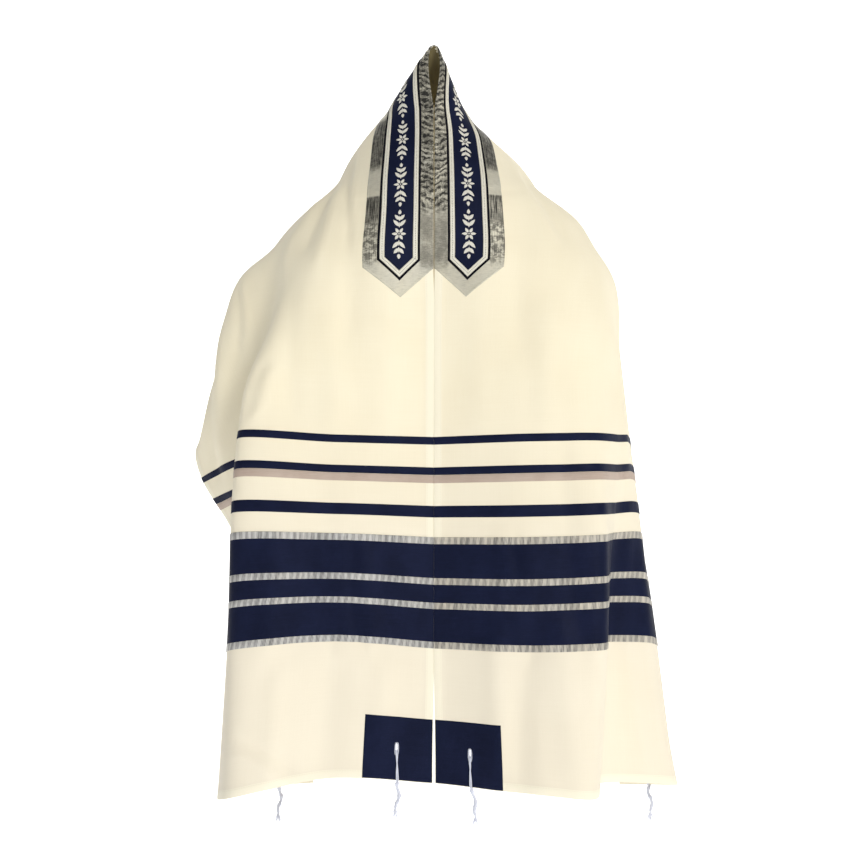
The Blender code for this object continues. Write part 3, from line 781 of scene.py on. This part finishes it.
def silver_brocade():
    """Metallic base of the neckband: streaked, mottled and drawn up in small puckers, with painted shade
    along the puckers and a painted highlight on its outer strip.
    """
    finish = Finish("silver_brocade", (0.4, 0.4, 0.36), Metallic=0.3, Roughness=0.45)
    size = abs(finish.run)
    streaks = finish.between(finish.noise(1.3, 34.0, 3.0, 0.65), 0.38, 0.62)
    cross = finish.noise(7.0, 1.1, 3.0, 0.6, seed=4.0)
    blots = finish.between(finish.noise(7.0, 6.0, 3.0, 0.65, seed=8.0), 0.4, 0.6)
    patches = finish.between(finish.noise(16.0, 26.0, 2.0, 0.6, seed=14.0), 0.35, 0.65)
    uneven = finish.noise(16.0, 24.0, 2.0, seed=2.0) * 20 + finish.noise(5.0, 6.0, 2.0, seed=5.0) * 8
    puckers = finish.wave(size + finish.across * 0.5 + uneven, 9.5)
    specks = finish.between(finish.noise(1.6, 2.4, 2.0, 0.7, seed=17.0), 0.42, 0.66)
    inner_strip = 1 - finish.between(finish.across, 14.0, 20.0)
    inner = inner_strip * (1 - finish.between(size, 246.0, 272.0))
    inner_low = inner_strip * finish.between(size, 252.0, 276.0) * (1 - finish.between(size, 325.0, 350.0))
    # The outer strip carries the grey border's streaks and mottling, but is left pale from about run 198 to
    # 233: a painted highlight just above the storage crease
    outer = finish.between(finish.across, 66.0, 72.0)
    upper_streaks = finish.between(size, 92.0, 110.0) * (1 - finish.between(size, 178.0, 198.0))
    lower_streaks = finish.between(size, 233.0, 237.0) * (1 - finish.between(size, 264.0, 284.0))
    mottled = finish.between(size, 264.0, 284.0) * (1 - finish.between(size, 318.0, 342.0))
    # Painted shade: dark bands along the puckers of the inner strip, deeper where the random blots fall; the
    # inner strip is also darker down to about run 260
    pucker_shade = finish.between(puckers, 0.2, 0.9) * (0.2 + blots * 0.65)
    dark = inner * (pucker_shade + patches * 0.3 + streaks * 0.12 - specks * 0.3 + 0.12)
    dark = dark + outer * upper_streaks * (0.3 + streaks * 0.42 + blots * 0.15)
    dark = dark + outer * lower_streaks * (0.25 + streaks * 0.65)
    dark = dark + outer * mottled * (blots * 0.4 + streaks * 0.22)
    dark = dark + inner_low * (0.2 + patches * 0.14 + specks * 0.08)
    dark = dark + finish.between(cross, 0.35, 0.7) * 0.14 + blots * 0.05
    pale = finish.mix(finish.noise(30.0, 40.0, 2.0, seed=11.0), (0.6, 0.56, 0.43, 1), (0.56, 0.55, 0.49, 1))
    colour = finish.mix(finish.between(dark, 0.0, 0.5), pale, (0.21, 0.2, 0.165, 1))
    finish.set("Base Color", finish.mix(finish.between(dark, 0.4, 0.95), colour, (0.025, 0.024, 0.02, 1)))
    finish.set("Roughness", 0.42 + streaks * 0.2)
    weave_height = finish.wave(finish.run, 0.8) * finish.wave(finish.across, 0.8)
    finish.bump(weave_height * 0.15 + cross * 0.4 + puckers * inner * 1.5, 0.45)
    return finish.made


def velvet():
    """Short dark pile along the edges of the ribbon."""
    finish = Finish("black_velvet", (0.004, 0.004, 0.007), Roughness=1.0, Specular_IOR_Level=0.05)
    pile = finish.noise(0.35, 0.35, 2.0, 0.7)
    finish.set("Base Color", finish.mix(pile, (0.002, 0.002, 0.004, 1), (0.012, 0.012, 0.018, 1)))
    finish.bump(pile, 0.4)
    return finish.made


def cream_braid():
    """Flat cream braid with a row of small openings along its middle."""
    low, high = BRAID
    finish = Finish("cream_braid", (0.7, 0.67, 0.56), Roughness=0.7, Specular_IOR_Level=0.25)
    off = abs(finish.across - (low + high) / 2)
    dots = (1 - finish.between(off, 0.3, 0.75)) * finish.between(finish.wave(finish.run, 2.3), 0.45, 0.75)
    edges = finish.between(off, (high - low) / 2 - 1.1, (high - low) / 2 - 0.5)
    cross = finish.wave(finish.run + off * 0.9, 1.15)
    uneven = finish.noise(2.0, 6.0, 2.0)
    tone = finish.between(uneven, 0.3, 0.7) * 0.6 + cross * 0.4
    colour = finish.mix(tone, (0.72, 0.69, 0.57, 1), (0.86, 0.84, 0.75, 1))
    colour = finish.mix(edges * 0.5, colour, (0.5, 0.47, 0.38, 1))
    finish.set("Base Color", finish.mix(dots * 0.75, colour, (0.16, 0.15, 0.13, 1)))
    finish.set("Roughness", 0.6 + cross * 0.2)
    finish.bump(cross * 0.5 - dots - edges * 0.4, 0.35)
    return finish.made


def thread(name, dark, light, pitch):
    """Twisted thread or satin stitch, with fine ridges across its length."""
    finish = Finish(name, light, Roughness=0.55, Specular_IOR_Level=0.3)
    twist = finish.wave(finish.run + finish.across * 0.35, pitch)
    uneven = finish.noise(1.2, 3.0, 3.0, 0.6)
    finish.set("Base Color", finish.mix(twist * 0.65 + uneven * 0.35, dark, light))
    finish.set("Roughness", 0.5 + uneven * 0.25)
    finish.bump(twist, 0.18)
    return finish.made


wool = cream_wool()
navy = silk("navy_silk", (0.0048, 0.0072, 0.023), (0.0092, 0.0132, 0.041), 1.0)
taupe = silk("taupe_silk", (0.4, 0.315, 0.26), (0.52, 0.43, 0.37), 20.0)
silver = silver_ribbon()
# Dark olive silk for the sheet inside the peak: painted shade, where the inside of the peak lies in shade
peak_shade_silk = silk("olive_lining", (0.15, 0.125, 0.062), (0.22, 0.185, 0.098), 6.0)
brocade = silver_brocade()
pile = velvet()
braid = cream_braid()
satin = thread("satin_stitch", (0.66, 0.64, 0.56), (0.92, 0.9, 0.83), 0.5)
cord = thread("white_cord", (0.54, 0.57, 0.7), (0.84, 0.86, 0.93), 1.5)
rim_thread = thread("eyelet_thread", (0.3, 0.32, 0.4), (0.72, 0.74, 0.82), 0.9)

# How each finish of the stripes is laid: material, the solids' material slot, top, and how far it is sunk
LAID = {
    "navy": (navy, "navy_silk", BAND_TOP, 0.4),
    "taupe": (taupe, "taupe_silk", BAND_TOP, 0.4),
    "silver": (silver, "silver_ribbon", RIBBON_TOP, 0.1),
}


# Sewing the pieces on

TRIM_STEP = 3.0


def add_neckband():
    """Brocade base, navy ribbon, velvet edges, braid and bound edge, all along the neck edge, and a dark
    sheet of painted shade inside the peak.
    """
    made = {}
    run, across = pointed_grid(BASE_SHOULDER, BASE_POINT, BASE_SIDES, 0.8, 4.0)
    made["base"] = add_mesh("neckband_base", *shell(run, across, CLOTH_TOP - 0.4, BAND_TOP - 0.15), brocade)
    run, across = pointed_grid(RIBBON_SHOULDER, RIBBON_POINT, RIBBON_SIDES, 1.0, 4.0)
    made["ribbon"] = add_mesh("neckband_ribbon", *shell(run, across, BAND_TOP - 0.6, RIBBON_TOP), navy)
    around = outline(RIBBON_SHOULDER, RIBBON_POINT, RIBBON_SIDES)
    insets, heights = (0.0, 0.5, 1.4, 2.3, VELVET), (1.75, 2.35, 2.6, 2.5, 2.2)
    edge = ring(around, insets, heights, BAND_TOP - 0.6, TRIM_STEP)
    made["velvet"] = add_mesh("neckband_velvet_edge", *edge, pile)
    low, high = BRAID
    insets = (low, low + 0.35, low + 1.2, (low + high) / 2, high - 1.2, high - 0.35, high)
    heights = tuple(RIBBON_TOP + x for x in (0.05, 0.45, 0.62, 0.5, 0.62, 0.45, 0.05))
    flat = ring(around, insets, heights, RIBBON_TOP - 0.3, TRIM_STEP)
    made["braid"] = add_mesh("neckband_braid", *flat, braid)
    around = outline(BASE_SHOULDER, BASE_POINT, BASE_SIDES)
    insets, heights = (0.0, 0.5, 1.4, 2.3, 2.8), (1.2, 1.68, 1.86, 1.78, 1.55)
    edge = ring(around, insets, heights, CLOTH_TOP - 0.4, TRIM_STEP, as_laid=True)
    made["edge"] = add_mesh("neckband_base_edge", *edge, brocade)
    along = np.linspace(-BASE_SHOULDER + 1.0, BASE_SHOULDER - 1.0, 227)
    run, across = np.meshgrid(along, [-0.5, 0.2, 1.2, 2.4], indexing="ij")
    low = np.broadcast_to([0.1, -0.05, 0.0, 0.1], run.shape)
    high = np.broadcast_to([1.25, 1.75, 1.9, 1.8], run.shape)
    made["binding"] = add_mesh("neckband_binding", *shell(run, across, low, high), brocade)
    # The dark sheet inside the peak, which is painted shade
    along = np.linspace(-SHADE_SHEET_REACH, SHADE_SHEET_REACH, 85)
    run, across = np.meshgrid(along, np.linspace(0.6, SHADE_SHEET_WIDTH, 29), indexing="ij")
    made["lining"] = add_mesh("neckband_lining", *shell(run, across, -0.35, 0.3), peak_shade_silk)
    return made


SPRIGS = (292.0, 220.0, 148.0, 76.0)


def petal(run, across, turn, length, wide, rise=0.55):
    """A satin-stitched leaf or petal, domed, from its root at that flat place."""
    t, s = np.meshgrid(np.linspace(0, 1, 8), np.linspace(-1, 1, 5), indexing="ij")
    half = wide / 2 * np.sin(pi * t**0.8) ** 0.8 + 0.05
    gone, off = t * length, s * half
    runs = run + gone * cos(turn) - off * sin(turn)
    over = across + gone * sin(turn) + off * cos(turn)
    dome = np.sqrt(np.clip(1 - s**2, 0, 1)) * np.sqrt(np.sin(pi * t**0.8).clip(0.02))
    height = RIBBON_TOP - 0.1 + rise * dome
    points = hang.at(runs, over, height).reshape(-1, 3)
    rows, columns = t.shape
    faces = [
        (i * columns + j, (i + 1) * columns + j, (i + 1) * columns + j + 1, i * columns + j + 1)
        for i in range(rows - 1) for j in range(columns - 1)
    ]
    return points, faces, np.stack([off.ravel(), gone.ravel()], axis=1)


def sprig(run, side):
    """One group of the pattern: a flower between two pairs of leaves on a stem."""
    found = []
    away = 0.0 if side > 0 else pi
    middle = RIBBON_MIDDLE
    for k in range(6):
        turn = k * pi / 3 + pi / 6
        found.append(petal(run + 1.7 * cos(turn), middle + 1.7 * sin(turn), turn, 7.4, 4.1))
    for k in range(5):
        turn = k * 2 * pi / 5
        found.append(petal(run - 0.9 * cos(turn), middle - 0.9 * sin(turn), turn, 1.9, 1.4, 0.8))
    for off in (10.5, 19.5):
        for way in (-1, 1):
            start = run + way * off
            out = away if way * side > 0 else away + pi
            found.append(petal(start - cos(out) * 2.0, middle, out, 8.0, 1.9, 0.45))
            for lean in (-0.72, 0.72):
                found.append(petal(start, middle, out + lean, 12.0 if off < 12 else 9.6, 4.9))
    for way in (-1, 1):
        out = away if way * side > 0 else away + pi
        found.append(petal(run + way * 27.0, middle, out, 7.0, 4.6))
    return found


def add_embroidery():
    """Leaf and flower sprigs in cream thread along the navy ribbon, in groups with small gaps."""
    made = []
    for side, word in sides():
        found = []
        for middle in SPRIGS:
            found.extend(sprig(side * middle, side))
        made.append(add_mesh(f"neckband_embroidery_{word}", *joined(found), satin))
    return made


def add_patch(name, side, in_front):
    """A navy square round one eyelet, stitched down near its edges."""
    near, high = eyelet_lines()
    low_run, high_run = HALF_LENGTH - PATCH_UP, HALF_LENGTH - PATCH_EDGE
    edge = (0.4, 1.0, 2.2)
    runs = lines(low_run, high_run, 4.0, *high, *[low_run + e for e in edge], *[high_run - e for e in edge])
    over = lines(PATCH_EDGE, PATCH_ACROSS, 4.0, *near,
                 *[PATCH_EDGE + e for e in edge], *[PATCH_ACROSS - e for e in edge])
    if side < 0:
        runs = -runs[::-1]
    if not in_front:
        over = WIDTH - over[::-1]
    run, across = np.meshgrid(runs, over, indexing="ij")
    inside = np.minimum(across, WIDTH - across)
    height = np.minimum(
        pillow(np.abs(run), low_run, high_run, BAND_TOP - 0.35, BAND_TOP + 0.15),
        pillow(inside, PATCH_EDGE, PATCH_ACROSS, BAND_TOP - 0.35, BAND_TOP + 0.15),
    )
    keep = ~in_eyelet((runs[:-1] + runs[1:]) / 2, (over[:-1] + over[1:]) / 2)
    return add_mesh(f"corner_patch_{name}", *shell(run, across, CLOTH_TOP - 0.3, height, keep), navy)


def add_eyelet(name, side, in_front):
    """The buttonhole-stitched rim of a corner eyelet."""
    wide, tall = EYELET_HOLE
    across = EYELET_ACROSS if in_front else WIDTH - EYELET_ACROSS
    turns = np.linspace(0, 2 * pi, 33)[:-1]
    half_tall, half_wide = tall / 2 + EYELET_RIM, wide / 2 + EYELET_RIM

    def oval(value, size):
        return np.sign(value) * np.abs(value) ** 0.62 * size

    points = np.stack([
        side * (HALF_LENGTH - EYELET_UP) + oval(np.cos(turns), half_tall),
        across + oval(np.sin(turns), half_wide),
    ], axis=1)
    stitched = np.array([0.0, 0.35, 0.85, 1.35, 1.7])
    heights = (1.8, 2.35, 2.6, 2.35, 1.7)
    return add_mesh(f"eyelet_rim_{name}", *ring(points, stitched, heights, -0.1, 0.8), rim_thread)


# Corner tassels

Tassel = namedtuple("Tassel", "drift sway knots length")
TASSELS = {
    "front_left": Tassel(-2.2, -2.2, (2.5, 18.0, 26.5), 34.0),
    "front_right": Tassel(0.8, 4.6, (2.5, 17.5, 23.0), 35.0),
    "back_left": Tassel(0.6, -1.8, (3.0, 13.0, 25.0), 36.0),
    "back_right": Tassel(-0.8, 3.2, (3.0, 15.0, 27.0), 35.0),
}
CORD_RADIUS = 0.95
PLY_RADIUS = 0.8
PLY_TURN = 10.5


def tube(path, radius, around=8):
    """A closed tube along a path, with its length and girth as flat places."""
    path = np.asarray(path, float)
    radius = np.broadcast_to(np.asarray(radius, float), (len(path),))
    ways = np.gradient(path, axis=0)
    ways /= np.linalg.norm(ways, axis=1)[:, None]
    first = np.cross(ways[0], (0.0, 0.0, 1.0) if abs(ways[0][2]) < 0.9 else (1.0, 0.0, 0.0))
    turns = 2 * pi * np.arange(around) / around
    gone = np.concatenate([[0.0], np.cumsum(np.linalg.norm(np.diff(path, axis=0), axis=1))])
    points, places, faces = [], [], []
    for k, (place, way) in enumerate(zip(path, ways)):
        first = first - way * np.dot(first, way)
        first /= np.linalg.norm(first)
        second = np.cross(way, first)
        points.append(place + radius[k] * (np.outer(np.cos(turns), first) + np.outer(np.sin(turns), second)))
        places.append(np.stack([turns * radius.max(), np.full(around, gone[k])], axis=1))
    for i in range(len(path) - 1):
        for k in range(around):
            a, b = i * around + k, i * around + (k + 1) % around
            faces.append((a, b, b + around, a + around))
    last = (len(path) - 1) * around
    faces.append(tuple(reversed(range(around))))
    faces.append(tuple(range(last, last + around)))
    return np.vstack(points), faces, np.vstack(places)


def leg(side, across, drift, outside):
    """The pair of cords from the eyelet to the hem, on one face of the corner."""
    base = BAND_TOP + 0.15 + CORD_RADIUS if outside else -CORD_RADIUS - 0.4
    slot = HALF_LENGTH - EYELET_UP + 1.5
    down = np.array([0.0, 1.0, 3.0, 6.5, 12.0, 20.0, 29.0, 36.0, 39.3])
    share = smooth(down / 6.0)
    height = (0.3 if outside else -0.3) * (1 - share) + base * share
    found = []
    for k in range(2):
        turn = down / 15.0 * pi + k * pi + 0.35
        wide = 0.25 + 0.75 * smooth(down / 9.0)
        over = across + drift * share * down / 39.0 + np.cos(turn * 0.4 + k * pi * 0.6) * CORD_RADIUS * wide
        lift = height + np.abs(np.sin(turn)) * 0.25 * share
        found.append(hang.at(side * (slot + down), over, lift))
    return found


def add_tassel(name, side, in_front):
    """A knotted cord through one corner eyelet, with loose strand ends."""
    shape = TASSELS[name]
    across = EYELET_ACROSS if in_front else WIDTH - EYELET_ACROSS
    outer = leg(side, across, shape.drift, True)
    inner = leg(side, across, shape.drift, False)
    hem = (outer[0][-1] + outer[1][-1] + inner[0][-1] + inner[1][-1]) / 4
    down = np.array([0.0, 0.0, -1.0])

    def spine(gone):
        gone = np.asarray(gone, float)[..., None]
        lean = shape.sway * (gone / shape.length) ** 1.4 * np.array([1.0, 0.0, 0.0])
        wander = np.sin(gone * 0.21 + shape.sway) * np.array([1.9, 0.4, 0.0])
        start = np.sin(shape.sway) * np.array([1.9, 0.4, 0.0])
        return hem + down * (gone + 2.0) + lean + wander - start

    parts = []
    for number, legs in enumerate((outer, inner)):
        for k, path in enumerate(legs):
            ply = 2 * number + k
            gone = np.arange(0.0, shape.length + 0.1, 0.8)
            turn = gone / PLY_TURN * 2 * pi + ply * pi / 2
            spread = 1.3 + 0.25 * np.sin(gone * 0.5 + ply)
            around = np.stack([np.cos(turn), np.sin(turn), np.zeros_like(turn)], axis=1)
            plies = spine(gone) + around * spread[:, None]
            whole = np.vstack([path, plies[2:]])
            steps = np.concatenate([[0.0], np.cumsum(np.linalg.norm(np.diff(whole, axis=0), axis=1))])
            smooth_path = spline(steps, whole, np.arange(0.0, steps[-1], 0.75))
            parts.append(tube(smooth_path, CORD_RADIUS if k == 0 else PLY_RADIUS, 7))
    for knot in shape.knots:
        for coil in (-1.25, 0.0, 1.25):
            turns = np.linspace(0, 2 * pi, 19)
            middle = spine(knot + coil)
            size = 2.2 - 0.25 * abs(coil)
            tilt = 0.35 * np.sin(turns + knot)
            loop = middle + np.stack([np.cos(turns) * size, np.sin(turns) * size, tilt], axis=1)
            parts.append(tube(loop, 0.85, 6))
    root = spine(shape.length - 0.5)
    for k in range(9):
        turn = 2 * pi * k / 9 + shape.sway
        length = 12.0 + 1.5 * sin(3.1 * k + shape.sway)
        s = np.linspace(0.0, 1.0, 12)
        out = np.array([cos(turn), sin(turn), 0.0]) * (3.6 + 1.4 * sin(1.7 * k))
        curl = np.stack([np.sin(s * 5 + k), np.cos(s * 6 + 2 * k), np.zeros_like(s)], axis=1) * 0.55
        strand = root + np.outer(s**0.8, out) + np.outer(s * length, down) + curl * s[:, None]
        parts.append(tube(strand, np.linspace(0.75, 0.4, 12), 5))
    return add_mesh(f"tassel_{name}", *joined(parts), cord)


def build():
    """Every piece of the shawl, each standing for its solid."""

    def sewn(piece, slot, *nodes):
        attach(piece, "root")
        if nodes:
            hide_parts(*nodes)
        return piece

    cloth = sewn(add_cloth(wool), "cream_wool", "shawl_cloth")
    for side, word in sides():
        for stripe in STRIPES:
            finish, slot, top, sunk = LAID[stripe.finish]
            sewn(add_stripe(stripe, side, word, finish, top, sunk), slot, f"{stripe.name}_{word}")
    neckband = add_neckband()
    sewn(neckband["base"], "silver_brocade", "neckband_base")
    sewn(neckband["ribbon"], "navy_silk", "neckband_ribbon")
    sewn(neckband["edge"], "silver_brocade")
    sewn(neckband["binding"], "silver_brocade")
    sewn(neckband["lining"], "silver_brocade")
    sewn(neckband["velvet"], "navy_silk")
    sewn(neckband["braid"], "cream_wool")
    for piece in add_embroidery():
        sewn(piece, "cream_wool")
    for name, side, in_front in corners():
        sewn(add_patch(name, side, in_front), "navy_silk", f"corner_patch_{name}")
        sewn(add_eyelet(name, side, in_front), "tassel_cord")
        sewn(add_tassel(name, side, in_front), "tassel_cord", f"tassel_{name}")


build()


# The studio, in metres

FLOOR = -1.65
BACKDROP = 7.0
SWEEP = 2.5
STAGE_WIDE = 14.0
STAGE_HIGH = 9.0
MIDDLE = (0.0, 0.0, -0.5)
KEY_PLACE = (1.4, -2.35, 1.0)
CAMERA_PLACE = (0.0, -2.9, -0.527)


def add_backdrop():
    """A pale floor that sweeps up into a wall far behind the shawl."""
    finish = bpy.data.materials.new("pale_backdrop")
    finish.use_nodes = True
    shader = finish.node_tree.nodes["Principled BSDF"]
    shader.inputs["Base Color"].default_value = (0.93, 0.93, 0.93, 1)
    shader.inputs["Roughness"].default_value = 1.0
    shader.inputs["Specular IOR Level"].default_value = 0.0
    shader.inputs["Emission Color"].default_value = (1, 1, 1, 1)
    shader.inputs["Emission Strength"].default_value = 0.6
    profile = [(-STAGE_WIDE, FLOOR), (BACKDROP - SWEEP, FLOOR)]
    for k in range(1, 17):
        turn = k / 16 * pi / 2
        profile.append((BACKDROP - SWEEP + SWEEP * sin(turn), FLOOR + SWEEP * (1 - cos(turn))))
    profile.append((BACKDROP, FLOOR + STAGE_HIGH))
    points = [(x, y, z) for x in (-STAGE_WIDE, STAGE_WIDE) for y, z in profile]
    count = len(profile)
    faces = [(k, k + count, k + count + 1, k + 1) for k in range(count - 1)]
    mesh = bpy.data.meshes.new("backdrop")
    mesh.from_pydata(points, [], faces)
    mesh.shade_smooth()
    mesh.materials.append(finish)
    backdrop = bpy.data.objects.new("backdrop", mesh)
    bpy.context.scene.collection.objects.link(backdrop)


def add_key_light():
    """One broad light from the front, above and to the right."""
    light = bpy.data.lights.new("key", "SUN")
    light.energy = 1.88
    light.angle = radians(16)
    light.color = (1.0, 0.97, 0.91)
    key = bpy.data.objects.new("key", light)
    key.location = KEY_PLACE
    key.rotation_mode = "QUATERNION"
    key.rotation_quaternion = (Vector(MIDDLE) - Vector(KEY_PLACE)).to_track_quat("-Z", "Y")
    bpy.context.scene.collection.objects.link(key)


def add_studio():
    """Soft light all round, the key light, and the camera at the photograph's angle."""
    world = bpy.data.worlds.new("studio")
    bpy.context.scene.world = world
    world.use_nodes = True
    background = world.node_tree.nodes["Background"]
    background.inputs["Color"].default_value = (0.96, 0.98, 1.0, 1)
    background.inputs["Strength"].default_value = 0.28
    add_key_light()
    camera = bpy.data.objects.new("camera", bpy.data.cameras.new("camera"))
    camera.data.lens = 88.7
    camera.data.sensor_width = 36.0
    camera.location = CAMERA_PLACE
    camera.rotation_euler = (radians(90), 0, 0)
    bpy.context.scene.collection.objects.link(camera)
    bpy.context.scene.camera = camera
    bpy.context.scene.view_settings.view_transform = "Standard"


add_backdrop()
add_studio()
